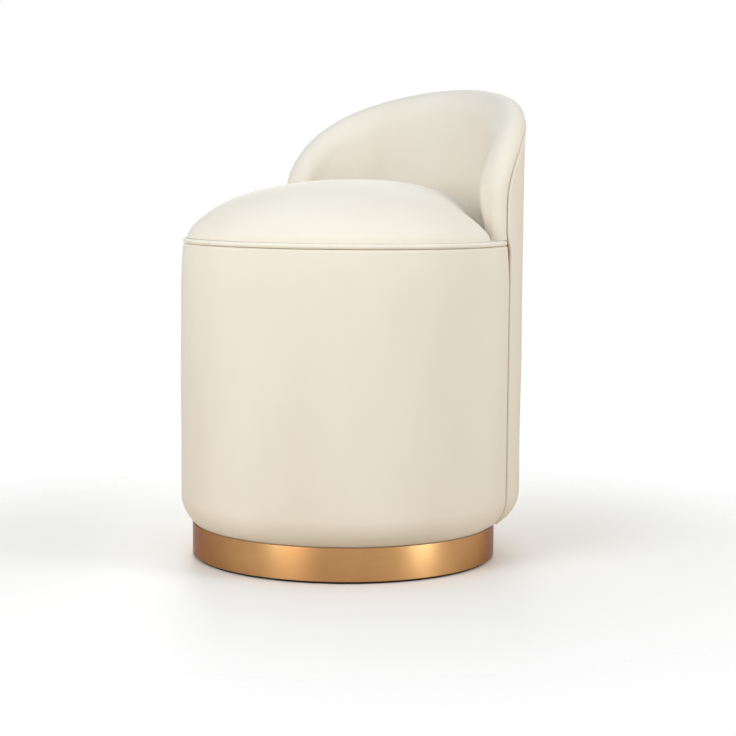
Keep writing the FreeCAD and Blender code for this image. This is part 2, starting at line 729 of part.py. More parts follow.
def make_back(flange_holes):
    rear = value("rear_radius")
    seam_turn = value("seam_turn")
    seam_top = value("back_top - seam_drop")
    soft_bottom = value("soft_bottom")
    cover = value("cover_thickness")
    clearance = value("clearance")
    seam_gap = value("seam_gap")
    frame_drop = value("frame_arch_drop")
    beyond = rear + value("back_depth")
    gap_turn = math.degrees(seam_gap / rear)
    frame_turn = value(FOAM_SPAN) / 2
    clear_turn = math.degrees(clearance / rear)

    # Bent plywood, foam and cover of the rear panel, cut to the arch
    frame_arch = arch_block("frame_arch", frame_turn, seam_top - frame_drop, clearance, beyond, 0)
    cover_arch = arch_block("cover_arch", seam_turn - gap_turn, seam_top - seam_gap, clearance, beyond, 0)
    tall = "back_top + back_depth"
    strip = [("board_inner", BACK_BOARD_BOTTOM), ("board_outer", BACK_BOARD_BOTTOM),
             ("board_outer", tall), ("board_inner", tall)]
    board = revolved("back_board_strip", strip, None, "2 * seam_turn", "rear_centre")
    back_board = combine("Common", "back_board", board, frame_arch)
    foam_edge = "rear_radius - cover_thickness - clearance"
    foam_top = [(foam_edge, tall), ("board_outer", tall)]
    corners, arcs = foam_profile("rear_radius", "board_outer", REAR_FOAM_BOTTOM, foam_top)
    foam_strip = revolved("rear_foam_strip", corners, arcs, "2 * seam_turn", "rear_centre")
    rear_foam = combine("Common", "rear_foam", foam_strip, frame_arch)
    cover_top = [("rear_radius", tall), ("rear_radius - cover_thickness", tall)]
    corners, arcs = cover_profile("rear_radius", "flange_radius - rear_centre", cover_top)
    cover_strip = revolved("rear_cover_strip", corners, arcs, "2 * seam_turn", "rear_centre")
    rear_cover = combine("Common", "rear_cover_skin", cover_strip, cover_arch)
    for tool in flange_holes:
        rear_cover = combine("Cut", "rear_cover_" + tool.Name, rear_cover, tool)
    rear_cover.Label = "rear_cover"

    # Padding over the inside and the rolled edge, then its cover
    piping_depth = value("back_piping_diameter - piping_proud")
    pad_form = scripted("back_pad_form",
                        back_form(cover + clearance, piping_depth + clearance, soft_bottom))
    pad_room = arch_block("back_pad_room", frame_turn + clear_turn, seam_top - frame_drop + clearance,
                          value("board_inner") - clearance, beyond, 0)
    back_pad = combine("Cut", "back_pad", pad_form, pad_room)
    skin_out = scripted("back_cover_outside", back_form(0, 0, soft_bottom))
    skin_in = scripted("back_cover_inside", back_form(cover, cover, soft_bottom - cover))
    seam_room = arch_block("back_seam_room", seam_turn + gap_turn, seam_top + seam_gap,
                           rear - piping_depth - clearance, beyond, 0)
    back_cover = combine("Cut", "back_cover_skin", skin_out, skin_in)
    back_cover = combine("Cut", "back_cover", back_cover, seam_room)
    return [back_board, rear_foam, rear_cover, back_pad, back_cover, make_back_piping(seam_turn, seam_top)]


def make_back_piping(seam_turn, seam_top):
    """Piping from the bottom rounding up one side seam, over the arch and down the other side."""
    radius = value("back_piping_diameter / 2")
    reach = value("rear_radius + piping_proud") - radius
    spring = value("arch_spring")

    # Over the arch: rings square to the seam
    step = seam_turn / 1000
    rings = []
    for angle in stations(seam_turn):
        middle = at(angle, reach, arch(angle, seam_turn, seam_top, SEAM_POWER))
        if abs(abs(angle) - seam_turn) < step:
            along = Vector(0, 0, -angle)
        else:
            ahead = at(angle + step, reach, arch(angle + step, seam_turn, seam_top, SEAM_POWER))
            behind = at(angle - step, reach, arch(angle - step, seam_turn, seam_top, SEAM_POWER))
            along = ahead - behind
        rings.append(Part.Wire(Part.Circle(middle, along, radius).toShape()))
    shape = Part.makeLoft(rings, True, False)

    # Down each side to the rounding, and under it towards the drum's axis
    round_centre = value("round_centre")
    bend = value("bottom_round_radius") - value("drum_radius") + at(seam_turn, reach, 0).Length
    sweep = math.degrees(math.asin(min(1, (value("bottom_round_height") - radius) / bend)))
    for side in (-1, 1):
        foot = at(side * seam_turn, reach, round_centre)
        shape = shape.fuse(Part.makeCylinder(radius, spring - round_centre, foot))
        inward = Vector(-foot.x, -foot.y, 0).normalize()
        turn_axis = inward.cross(Vector(0, 0, -1))
        ring = Part.Face(Part.Wire(Part.Circle(foot, Vector(0, 0, 1), radius).toShape()))
        shape = shape.fuse(ring.revolve(foot + inward * bend, turn_axis, -sweep))
    return scripted("back_piping", shape.removeSplitter())


# Seat

def seat_outline(front_share, rear_share, inset, z):
    """The seat's plan at one level: round in front, narrower between the arms, round at the back."""
    front = value("drum_radius - draw_in - seat_edge_inset + clearance") * front_share
    centre = value("rear_centre") * rear_share
    # Towards the top the step beside the arms fades out
    fade = (1 - front_share) ** 2
    rear = value("inner_radius - 3 * clearance") * rear_share * (1 - fade) + front * fade - inset
    front -= inset
    step = value("rear_centre + inner_radius * cos(arm_end_angle)") - 2 * value("clearance")
    front_y = step * front_share - inset
    rear_y = step * rear_share - inset
    front_x = math.sqrt(front ** 2 - front_y ** 2)
    rear_x = math.sqrt(rear ** 2 - (rear_y - centre) ** 2)

    def arc_through(start, top, around, radius):
        middle = (start + top) * 0.5 - Vector(0, around, z)
        bend_point = middle.normalize() * radius + Vector(0, around, z)
        return Part.Arc(start, bend_point, top)

    nose = Vector(0, -front, z)
    tail = Vector(0, centre + rear, z)
    left_front, right_front = (Vector(side * front_x, front_y, z) for side in (-1, 1))
    left_rear, right_rear = (Vector(side * rear_x, rear_y, z) for side in (-1, 1))
    edges = [arc_through(nose, right_front, 0, front), Part.LineSegment(right_front, right_rear),
             arc_through(right_rear, tail, centre, rear), arc_through(tail, left_rear, centre, rear),
             Part.LineSegment(left_rear, left_front), arc_through(left_front, nose, 0, front)]
    return Part.Wire([edge.toShape() for edge in edges])


def seat_form(name, inset):
    """The crowned seat, set in all round and lowered by the same amount."""
    bottom = value("soft_bottom") - inset
    wires = []
    for angle in CROWN_ANGLES:
        turn = math.radians(angle)
        front_share = math.cos(turn) ** (2 / CROWN_POWER)
        rise = math.sin(turn) ** (2 / CROWN_POWER) * value("seat_crown")
        wires.append(seat_outline(front_share, front_share ** CROWN_FULLNESS, inset, bottom + rise))
    return scripted(name, Part.makeLoft(wires, True, False))


def make_seat():
    cover = value("cover_thickness")
    seat_cover = combine("Cut", "seat_cover", seat_form("seat_outside", 0), seat_form("seat_inside", cover))
    fill = seat_form("seat_fill", cover + value("clearance"))
    split = "seat_board_top + seat_foam_base_thickness"
    wide = ("2 * drum_radius", "2 * rear_reach")
    corner = ("-drum_radius", "-rear_reach")
    base_room = box("seat_base_room", *wide, "seat_foam_base_thickness", *corner, "seat_board_top")
    crown_room = box("seat_crown_room", *wide, "seat_crown", *corner, split)
    base = combine("Common", "seat_foam_base", fill, base_room)
    crown = combine("Common", "seat_foam_crown", fill, crown_room)
    return [seat_cover, base, crown]


def make_cover_staples():
    """Staples along the covers' flanges, under the base board and inside the plinth."""
    margin = "10"
    front_start = f"(seam_angle + {margin})"
    spots = [(f"{front_start} + (360 - 2 * {front_start}) * {k} / {FRONT_STAPLES - 1}", "staple_circle")
             for k in range(FRONT_STAPLES)]
    rear_end = f"(seam_angle - 2 * {margin})"
    spots += [(f"{rear_end} * {2 * k / (REAR_STAPLES - 1) - 1}", "staple_circle")
              for k in range(REAR_STAPLES)]
    return staples("cover_staples", spots, "underside - staple_wire")


def failed(thing):
    return any(state in ("Invalid", "Error") for state in thing.State)


cover_staples = make_cover_staples()
plinth_bores = make_plinth_bores()
flange_holes = (cover_staples, plinth_bores)
pieces = make_plinth(plinth_bores) + make_frame(cover_staples) + make_drum(flange_holes)
pieces += make_seat() + make_back(flange_holes) + [cover_staples]
doc.recompute()

problems = [thing.Label for thing in doc.Objects if failed(thing)]
problems += [piece.Label for piece in pieces if piece.Shape.isNull() or not piece.Shape.isValid()]
if problems:
    raise RuntimeError("not built: " + ", ".join(problems))
os.makedirs("parts", exist_ok=True)
for piece in pieces:
    piece.Shape.exportStep(f"parts/{piece.Label}.step")
    solids = len(piece.Shape.Solids)
    print(f"{piece.Label}: {solids} solid, {piece.Shape.Volume / 1000:.1f} cm3")
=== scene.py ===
import json
import math

import bmesh
import bpy
import numpy as np
from mathutils import Matrix, Vector, noise
from mathutils.geometry import tessellate_polygon
from mathutils.kdtree import KDTree


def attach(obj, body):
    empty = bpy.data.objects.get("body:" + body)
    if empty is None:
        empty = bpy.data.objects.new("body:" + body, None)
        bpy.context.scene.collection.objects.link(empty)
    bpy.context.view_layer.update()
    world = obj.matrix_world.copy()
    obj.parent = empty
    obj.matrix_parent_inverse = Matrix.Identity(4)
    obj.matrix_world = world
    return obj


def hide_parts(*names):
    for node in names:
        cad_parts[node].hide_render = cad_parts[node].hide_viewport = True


# Dressed pouf: round drum, crowned seat and low wrap-round back on a metal-banded plinth.
# Shapes are worked out in millimetres and degrees and scaled to metres when a mesh is made.
# Angles turn about an upright axis and start at the rear.
# The origin is on the floor, on the drum's axis; the front faces -Y.
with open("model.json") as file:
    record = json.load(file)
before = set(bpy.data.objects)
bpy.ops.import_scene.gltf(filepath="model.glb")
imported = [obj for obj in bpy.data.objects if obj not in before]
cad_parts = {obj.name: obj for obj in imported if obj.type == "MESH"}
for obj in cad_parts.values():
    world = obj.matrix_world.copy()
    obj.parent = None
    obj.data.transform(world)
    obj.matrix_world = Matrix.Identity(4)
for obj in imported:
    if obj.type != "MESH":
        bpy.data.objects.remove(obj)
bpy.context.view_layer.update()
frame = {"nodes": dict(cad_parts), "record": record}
scene = bpy.context.scene
MM = 0.001

# Plan
DRUM_RADIUS = 204.0
SEAM_ANGLE = 63.0
REAR_BULGE = 42.0
BACK_DEPTH = 44.4
REAR_REACH = DRUM_RADIUS + REAR_BULGE
SEAM_Y = DRUM_RADIUS * math.cos(math.radians(SEAM_ANGLE))
REAR_CENTRE = (REAR_REACH ** 2 - DRUM_RADIUS ** 2) / (2 * (REAR_REACH - SEAM_Y))
REAR_RADIUS = REAR_REACH - REAR_CENTRE
SEAM_TURN = math.degrees(math.acos((SEAM_Y - REAR_CENTRE) / REAR_RADIUS))
INNER_RADIUS = REAR_RADIUS - BACK_DEPTH

# Flanks: each runs straight from the drum's circle to the rear arc, and the side seam lies along it
FLANK_TURN = math.degrees(math.acos((DRUM_RADIUS - REAR_RADIUS) / REAR_CENTRE))
FLANK_SHARE = 0.70
FLANK_RUN = REAR_CENTRE * math.sin(math.radians(FLANK_TURN)) * FLANK_SHARE
FLANK_REST = FLANK_RUN / FLANK_SHARE - FLANK_RUN
DRUM_SEAM = FLANK_TURN - math.degrees(math.atan2(FLANK_RUN, DRUM_RADIUS))
LOW_SEAM_TURN = FLANK_TURN + math.degrees(math.atan2(FLANK_REST, REAR_RADIUS))
HIGH_SEAM_BACK = 1.3
HIGH_SEAM_TURN = SEAM_TURN - HIGH_SEAM_BACK

# Heights
UNDERSIDE = 43.0
ROUND_RADIUS = 45.0
ROUND_RISE = 35.0
ROUND_CENTRE = UNDERSIDE + ROUND_RISE
SEAT_HEIGHT = 394.0
SEAT_SEAM_HALF = 3.8
DRUM_TOP_LIFT = 0.6
DRUM_TOP = SEAT_HEIGHT - SEAT_SEAM_HALF + DRUM_TOP_LIFT
SOFT_BOTTOM = SEAT_HEIGHT + SEAT_SEAM_HALF
SEAM_SHIFT_HALF = 12.0
SEAT_CROWN = 68.5
ARCH_SPRING = 447.0
BACK_TOP = 589.0
SEAM_DROP = 12.0
SEAM_TOP = BACK_TOP - SEAM_DROP

# Frame that the covers lie on
COVER = 2.0
FRAME_INNER = 184.3
FRAME_OUTER = 187.3
WALL_BOTTOM = 50.5
WALL_MIDDLE = 240.0
REAR_FOAM = 8.0
REAR_FOAM_BOTTOM = 58.8
BACK_BOARD = 9.0
BACK_BOARD_MIDDLE = 250.0
BOARD_OUTER = REAR_RADIUS - COVER - REAR_FOAM
BOARD_INNER = BOARD_OUTER - BACK_BOARD
REAR_ROOM = 0.3
BACK_ROOM = 0.6

# Drum and rear panel
DRAW_IN = 3.0
DRAW_IN_HEIGHT = 60.0
DRUM_TOP_ROLL = 2.6
DRUM_SIDE_ROLL = 4.6
REAR_ROLL = 2.6
LOW_ROLL = 1.2
ROUND_ROWS = 14
FLANGE_RADIUS = 105.8
DRUM_FLANGE_MIDDLE = 150.0
REAR_FLANGE_MIDDLE = 110.0

# Back
ARM_END_ANGLE = 86.0
ARM_NOSE = 20.0
ARM_TIP = ARM_NOSE / 20
ARM_TAPER = 0.16
TAPER_START = 40.0
TAPER_RUN = 40.0
ARM_PINCH = 0.58
PINCH_START = 62.0
PINCH_RUN = 20.0
PINCH_TOP = 455.0
RIDGE_INSET = 18.4
RIDGE_REACH = REAR_RADIUS - RIDGE_INSET
RIDGE_POWER = 1.95
ROLL_DEPTH = 35.0
ROLL_DROP = 9.0
ROLL_SHARE = 0.9
OUTER_ROLL = 30.0
OUTER_GRADE = 1.6
BACK_SEAM_ROLL = 4.0
BACK_SWELL = 1.5

# Seat
SEAT_FRONT_RADIUS = 196.3
SEAT_FLARE = 1.5
SEAT_BACK_ROOM = 0.9
SEAT_CORNER_BACK = 14.0
CORNER_EASE = 5.0
CROWN_EASE = 45.0
EASE_STEPS = 12
CROWN_LIFT = 0.4
CROWN_POWER = 1.85
CROWN_FULLNESS = 0.6
FULL_FROM = 100.0
FULL_RUN = 70.0
EDGE_POWER = 8
SEAT_FLANGE = 23.0
FLANGE_INSET = 0.3
FLANGE_DROPS = (0.24, 0.08)
SEAT_FOOT_DROP = 0.04

# Piping
SEAT_PIPING_RADIUS = 3.1
SEAT_PIPING_INSET = 2.6
SEAT_PIPING_LIFT = 0.3
BACK_PIPING_RADIUS = 2.5
PIPING_PROUD = 1.5
PIPING_RUN_UNDER = 4.0
PIPING_END_LIFT = 0.3
SEAM_GAP = BACK_PIPING_RADIUS + 0.3
DRUM_SEAM_GAP = BACK_PIPING_RADIUS + 0.7
SEAM_POWER = 1.8

# Plinth band
BAND_RADIUS = 190.0
BAND_THICKNESS = 1.2
BAND_BOTTOM = 3.0
BAND_GAP = 1.0
BAND_CORNER = 0.45

# Unevenness of the foam: its size, its waves, and how far from an edge it fades out
DRUM_RIPPLE = 0.7
REAR_RIPPLE = 0.8
REAR_RIPPLE_SHIFT = 40.0
BACK_RIPPLE = 0.6
BACK_RIPPLE_SHIFT = 90.0
RIPPLE_ROUND = 2.2
RIPPLE_HEIGHT = 95.0
CALM_DRUM_SIDE = 30.0
CALM_DRUM_TOP = 25.0
CALM_REAR_SEAM = 40.0
CALM_BACK_FOOT = 30.0
CALM_LOW = 40.0

# Cloth simulation
CLOTH_VOXEL = 5 * MM
CLOTH_FRAMES = 20
NEAR_COUNT = 60
NEAR_SOFTNESS = 10 * MM
BACK_PRESSURE = 1.2
BACK_LONGEST_MOVE = 5.0
SEAT_PRESSURE = 30.0
SEAT_LONGEST_MOVE = 8.0

# Where the covers are held in it: how far from the ridge or the foot, and how fast that fades
HIND_HELD_FROM = 8.0
HIND_HELD_BELOW = 14.0
RIDGE_HELD_FROM = 2.0
RIDGE_HELD_RUN = 12.0
BACK_FOOT_HELD = 3.0
BACK_FOOT_RUN = 14.0
SEAT_FOOT_HELD = 2.0
SEAT_FOOT_RUN = 8.0

# Mesh fineness
MERGE_DISTANCE = 0.02 * MM
SHORTEST_EDGE = 0.01 * MM
FINE_STEP = 0.25
DRUM_STEP = 6.0
REAR_STEP = 5.0


# Mesh helpers

def spot(angle, reach, height, centre_y=0.0):
    """The point at an angle from the rear, a distance from an upright axis, and a height."""
    turn = math.radians(angle)
    return Vector((reach * math.sin(turn), centre_y + reach * math.cos(turn), height))


def mirrored(points):
    """Points on the other side of the part, in reverse order."""
    return [Vector((-p.x, p.y, p.z)) for p in reversed(points)]


def spread(start, end, count):
    """Evenly spaced values, both ends among them."""
    return [start + (end - start) * k / (count - 1) for k in range(count)]


def smooth_step(x):
    x = min(max(x, 0.0), 1.0)
    return x * x * (3 - 2 * x)


def superellipse(share, power):
    return (1 - min(abs(share), 1) ** power) ** (1 / power)


def arch(angle, end_angle, top, power):
    """Height of an arch that springs from the same height at both ends."""
    return ARCH_SPRING + (top - ARCH_SPRING) * superellipse(angle / end_angle, power)


def drum_plan(angle):
    """How far the drum's outline lies outside its circle, at an angle from the rear."""
    past = max(FLANK_TURN - min(angle, 360 - angle), 0.0)
    return DRUM_RADIUS / math.cos(math.radians(past)) - DRUM_RADIUS


def drum_spot(angle, reach, height):
    """A point of the drum: a reach under the drum's radius takes it square in from the outline."""
    facing = min(max(angle, FLANK_TURN), 360 - FLANK_TURN)
    return spot(angle, DRUM_RADIUS + drum_plan(angle), height) + spot(facing, reach - DRUM_RADIUS, 0)


def low_share(height):
    """1 on the drum, 0 on the back, with a short change between them at the seat's piping."""
    return smooth_step((SEAT_HEIGHT + SEAM_SHIFT_HALF - height) / (2 * SEAM_SHIFT_HALF))


def seam_turn(height):
    """Angle of the side seams about the rear arc's centre, at a height."""
    return HIGH_SEAM_TURN + (LOW_SEAM_TURN - HIGH_SEAM_TURN) * low_share(height)


def rear_plan(angle, height):
    """Reach of the rear outline from the rear arc's centre: it widens to the flanks below the seat."""
    past = max(abs(angle) - FLANK_TURN, 0.0)
    return REAR_RADIUS * (1 + low_share(height) * (1 / math.cos(math.radians(past)) - 1))


def rear_spot(angle, reach, height):
    """A point of the rear panel: a reach under the rear radius takes it square in from the outline."""
    past = max(abs(angle) - FLANK_TURN, 0.0)
    facing = math.copysign(abs(angle) - past * low_share(height), angle)
    return spot(angle, rear_plan(angle, height), height, REAR_CENTRE) + spot(facing, reach - REAR_RADIUS, 0)


def tuck(distance, radius):
    """How far cloth has rolled in at a distance from the seam that it is sewn into."""
    if distance >= radius:
        return 0.0
    return radius - math.sqrt(max(radius ** 2 - (radius - max(distance, 0.0)) ** 2, 0.0))


def graded_edges(length, fine, coarse, growth=1.3):
    """Distances from one end of a length to the other, fine at both ends and coarse between."""
    steps = []
    at = 0.0
    step = fine
    while at < length / 2:
        steps.append(at)
        at += step
        step = min(step * growth, coarse)
    return steps + [length - s for s in reversed(steps)]


def finish_mesh(name, mesh_data, sharp_angle):
    """Cleans a mesh, shades it smooth apart from its sharp edges, and adds it to the scene."""
    bmesh.ops.remove_doubles(mesh_data, verts=mesh_data.verts, dist=MERGE_DISTANCE)
    bmesh.ops.dissolve_degenerate(mesh_data, edges=mesh_data.edges, dist=SHORTEST_EDGE)
    bmesh.ops.recalc_face_normals(mesh_data, faces=mesh_data.faces)
    mesh = bpy.data.meshes.new(name)
    mesh_data.to_mesh(mesh)
    mesh_data.free()
    mesh.shade_smooth()
    mesh.set_sharp_from_angle(angle=math.radians(sharp_angle))
    piece = bpy.data.objects.new(name, mesh)
    scene.collection.objects.link(piece)
    return piece


def lofted(name, loops, sharp_angle=50):
    """A closed skin through closed loops of points, with the first and last loops filled in."""
    data = bmesh.new()
    rows = [[data.verts.new(point * MM) for point in loop] for loop in loops]
    count = len(rows[0])
    for low, high in zip(rows, rows[1:]):
        for k in range(count):
            m = (k + 1) % count
            data.faces.new((low[k], low[m], high[m], high[k]))
    for row, loop in ((rows[0], loops[0]), (rows[-1], loops[-1])):
        for corners in tessellate_polygon([loop]):
            data.faces.new([row[k] for k in corners])
    return finish_mesh(name, data, sharp_angle)


def ring(centre, side, up, radius, sides):
    """A circle of points in the plane of two directions."""
    turns = [2 * math.pi * s / sides for s in range(sides)]
    return [centre + (side * math.cos(t) + up * math.sin(t)) * radius for t in turns]


def tube(name, path, radius, centre_y, sides=16):
    """A round cord along a path that runs round an upright axis, with rounded ends."""
    end_shares = [(math.cos(math.radians(a)), math.sin(math.radians(a))) for a in (15, 45, 75)]
    last = len(path) - 1
    loops = []
    for k, middle in enumerate(path):
        along = (path[min(k + 1, last)] - path[max(k - 1, 0)]).normalized()
        side = along.cross(Vector((middle.x, middle.y - centre_y, 0))).normalized()
        up = side.cross(along)
        if k == 0:
            rings = [(middle - along * radius * (c - 1), radius * s) for c, s in end_shares]
        elif k == last:
            rings = [(middle + along * radius * (c - 1), radius * s) for c, s in reversed(end_shares)]
        else:
            rings = [(middle, radius)]
        loops += [ring(centre, side, up, size, sides) for centre, size in rings]
    return lofted(name, loops, sharp_angle=80)


# Cloth: a cover swells over its filling

def coarse_copy(piece):
    """A copy of a piece with an even, coarse mesh."""
    copy = bpy.data.objects.new("cloth_copy", piece.data.copy())
    scene.collection.objects.link(copy)
    remesh = copy.modifiers.new("remesh", "REMESH")
    remesh.mode = "VOXEL"
    remesh.voxel_size = CLOTH_VOXEL
    depsgraph = bpy.context.evaluated_depsgraph_get()
    coarse = bpy.data.meshes.new_from_object(copy.evaluated_get(depsgraph))
    copy.modifiers.clear()
    copy.data = coarse
    return copy


def inflate(copy, starts, held, pressure):
    """Simulates a copy as cloth under pressure, held in places, and gives where its points end up."""
    pins = copy.vertex_groups.new(name="held")
    for index, start in enumerate(starts):
        pins.add([index], held(start / MM), "REPLACE")
    cloth = copy.modifiers.new("cloth", "CLOTH")
    cloth.settings.vertex_group_mass = pins.name
    cloth.settings.use_pressure = True
    cloth.settings.uniform_pressure_force = pressure
    cloth.settings.effector_weights.gravity = 0
    cloth.point_cache.frame_end = CLOTH_FRAMES
    for number in range(1, CLOTH_FRAMES + 1):
        scene.frame_set(number)
    depsgraph = bpy.context.evaluated_depsgraph_get()
    return [vertex.co.copy() for vertex in copy.evaluated_get(depsgraph).data.vertices]


def swell(piece, held, pressure, longest_move):
    """Gives a piece the smoothed moves of a coarse copy that is simulated as cloth."""
    copy = coarse_copy(piece)
    starts = [vertex.co.copy() for vertex in copy.data.vertices]
    ends = inflate(copy, starts, held, pressure)
    longest = longest_move * MM
    tree = KDTree(len(starts))
    moves = []
    for index, (start, end) in enumerate(zip(starts, ends)):
        move = end - start
        if move.length > 0:
            move *= longest * math.tanh(move.length / longest) / move.length
        moves.append(move)
        tree.insert(start, index)
    tree.balance()
    for vertex in piece.data.vertices:
        total = Vector((0, 0, 0))
        weights = 0.0
        for _, index, distance in tree.find_n(vertex.co, NEAR_COUNT):
            weight = 1 / (distance + NEAR_SOFTNESS) ** 2
            total += moves[index] * weight
            weights += weight
        vertex.co += total / weights * (1 - held(vertex.co / MM))
    scene.frame_set(1)
    bpy.data.objects.remove(copy)


def dress(piece, slot_name, material, *nodes):
    """Puts a piece on the body in place of its CAD solids."""
    piece.data.materials.append(material)
    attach(piece, "root")
    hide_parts(*nodes)


# Material helpers

def set_inputs(tree, node, inputs):
    """Links a node's inputs to sockets, or sets them to values."""
    for key, item in inputs.items():
        if isinstance(item, bpy.types.NodeSocket):
            tree.links.new(item, node.inputs[key])
        else:
            node.inputs[key].default_value = item


def add_node(tree, kind, inputs=None, **settings):
    node = tree.nodes.new(kind)
    for key, item in settings.items():
        setattr(node, key, item)
    set_inputs(tree, node, inputs or {})
    return node


def new_material(name):
    material = bpy.data.materials.new(name)
    material.use_nodes = True
    tree = material.node_tree
    return material, tree, tree.nodes["Principled BSDF"]


def srgb(red, green, blue):
    """A colour as it is seen, 0 to 255, for a node's socket."""
    def linear(level):
        level /= 255
        return level / 12.92 if level <= 0.04045 else ((level + 0.055) / 1.055) ** 2.4
    return linear(red), linear(green), linear(blue), 1.0


def place_coords(tree, scale=(1, 1, 1)):
    """Object coordinates in metres, stretched along the axes."""
    coords = add_node(tree, "ShaderNodeTexCoord")
    mapping = add_node(tree, "ShaderNodeMapping", {"Vector": coords.outputs["Object"], "Scale": scale})
    return mapping.outputs["Vector"]


def noise_at(tree, vector, scale, detail=2.0, roughness=0.5):
    node = add_node(tree, "ShaderNodeTexNoise",
                    {"Vector": vector, "Scale": scale, "Detail": detail, "Roughness": roughness})
    return node.outputs["Fac"]


def remap(tree, fac, low, high, start=0.0, end=1.0):
    node = add_node(tree, "ShaderNodeMapRange", {"Value": fac, "From Min": low, "From Max": high,
                                                 "To Min": start, "To Max": end})
    return node.outputs["Result"]


def blended(tree, fac, first, second):
    """A mix of two colours; the mix node's colour sockets are numbered 6 and 7, and 2 for the result."""
    node = add_node(tree, "ShaderNodeMix", {0: fac, 6: first, 7: second}, data_type="RGBA")
    return node.outputs[2]


def bumped(tree, height, strength, distance, below=None):
    inputs = {"Height": height, "Strength": strength, "Distance": distance}
    if below is not None:
        inputs["Normal"] = below
    return add_node(tree, "ShaderNodeBump", inputs).outputs["Normal"]


# Materials

def fabric_material(name, colour, shade, pile_scale):
    """Short-pile velour: soft tone patches where the pile lies differently, fine relief and sheen."""
    material, tree, shader = new_material(name)
    flat = place_coords(tree)
    strokes = place_coords(tree, (1.0, 1.0, 0.28))
    patches = remap(tree, noise_at(tree, strokes, 9.0, 3.0, 0.5), 0.3, 0.7)
    pile = noise_at(tree, flat, pile_scale, 2.0, 0.6)
    speck = remap(tree, pile, 0.3, 0.7, 0.0, 0.12)
    weave = noise_at(tree, flat, pile_scale * 0.35, 1.0)
    set_inputs(tree, shader, {
        "Base Color": blended(tree, speck, blended(tree, patches, shade, colour), shade),
        "Roughness": remap(tree, patches, 0.0, 1.0, 0.78, 0.9),
        "Normal": bumped(tree, pile, 0.25, 0.0003, bumped(tree, weave, 0.12, 0.0006)),
        "Specular IOR Level": 0.25,
        "Sheen Weight": 0.45,
        "Sheen Roughness": 0.4,
        "Sheen Tint": srgb(255, 252, 246),
    })
    return material


def brushed_metal(name, colour, dark, roughness):
    """Satin metal brushed round an upright axis."""
    material, tree, shader = new_material(name)
    coords = add_node(tree, "ShaderNodeTexCoord")
    parts = add_node(tree, "ShaderNodeSeparateXYZ", {"Vector": coords.outputs["Object"]})
    turn = add_node(tree, "ShaderNodeMath", {0: parts.outputs["Y"], 1: parts.outputs["X"]},
                    operation="ARCTAN2")
    along = add_node(tree, "ShaderNodeCombineXYZ", {"X": turn.outputs[0], "Y": parts.outputs["Z"]})
    line_map = add_node(tree, "ShaderNodeMapping",
                        {"Vector": along.outputs[0], "Scale": (2.5, 2200.0, 1.0)})
    lines = noise_at(tree, line_map.outputs[0], 1.0, 4.0, 0.65)
    cloud = noise_at(tree, coords.outputs["Object"], 9.0, 3.0)
    tint = blended(tree, remap(tree, cloud, 0.3, 0.7), dark, colour)
    streaked = remap(tree, lines, 0.3, 0.7, 0.0, 0.22)
    tangent = add_node(tree, "ShaderNodeTangent", direction_type="RADIAL", axis="Z")
    set_inputs(tree, shader, {
        "Base Color": blended(tree, streaked, tint, dark),
        "Roughness": remap(tree, lines, 0.25, 0.75, roughness - 0.05, roughness + 0.07),
        "Normal": bumped(tree, lines, 0.08, 0.0001),
        "Tangent": tangent.outputs[0],
        "Metallic": 1.0,
        "Anisotropic": 0.85,
        "Anisotropic Rotation": 0.25,
        "Specular Tint": srgb(170, 120, 78),
        "Coat Weight": 0.6,
        "Coat Roughness": 0.28,
        "Coat IOR": 1.45,
    })
    return material


def speckled(name, light, dark, scale, roughness, relief, stretch=(1, 1, 1), metallic=0.0, detail=4.0):
    """A rigid or matted surface with grain: fibres, chips, wood figure or a plated metal's spangle."""
    material, tree, shader = new_material(name)
    vector = place_coords(tree, stretch)
    grain = noise_at(tree, vector, scale, detail, 0.6)
    broad = noise_at(tree, vector, scale * 0.12, 2.0)
    tone = blended(tree, remap(tree, grain, 0.3, 0.7), dark, light)
    set_inputs(tree, shader, {
        "Base Color": blended(tree, remap(tree, broad, 0.35, 0.65, 0.0, 0.35), tone, dark),
        "Roughness": remap(tree, grain, 0.2, 0.8, roughness - 0.08, roughness + 0.08),
        "Normal": bumped(tree, grain, 0.3, relief),
        "Metallic": metallic,
    })
    return material


def plywood_material(name, veneer, core, ply):
    """Plywood: veneer grain on the faces and dark and light plies along the edges."""
    material, tree, shader = new_material(name)
    grain = noise_at(tree, place_coords(tree, (1.0, 14.0, 1.0)), 30.0, 5.0, 0.6)
    wave_scale = 1 / (ply * 6.28)
    bands = add_node(tree, "ShaderNodeTexWave",
                     {"Vector": place_coords(tree), "Scale": wave_scale, "Distortion": 0.4, "Detail": 1.0},
                     wave_type="BANDS", bands_direction="Z")
    tone = blended(tree, remap(tree, grain, 0.3, 0.7), core, veneer)
    set_inputs(tree, shader, {
        "Base Color": blended(tree, remap(tree, bands.outputs["Fac"], 0.3, 0.7, 0.0, 0.45), tone, core),
        "Roughness": remap(tree, grain, 0.2, 0.8, 0.55, 0.75),
        "Normal": bumped(tree, grain, 0.25, 0.0004),
    })
    return material


cover_fabric = fabric_material("cream_velour", srgb(230, 221, 205), srgb(224, 213, 195), 1500.0)
piping_fabric = fabric_material("cream_piping_cloth", srgb(235, 227, 212), srgb(226, 216, 198), 2200.0)
band_metal = brushed_metal("satin_copper_gold", srgb(194, 144, 90), srgb(166, 117, 68), 0.40)

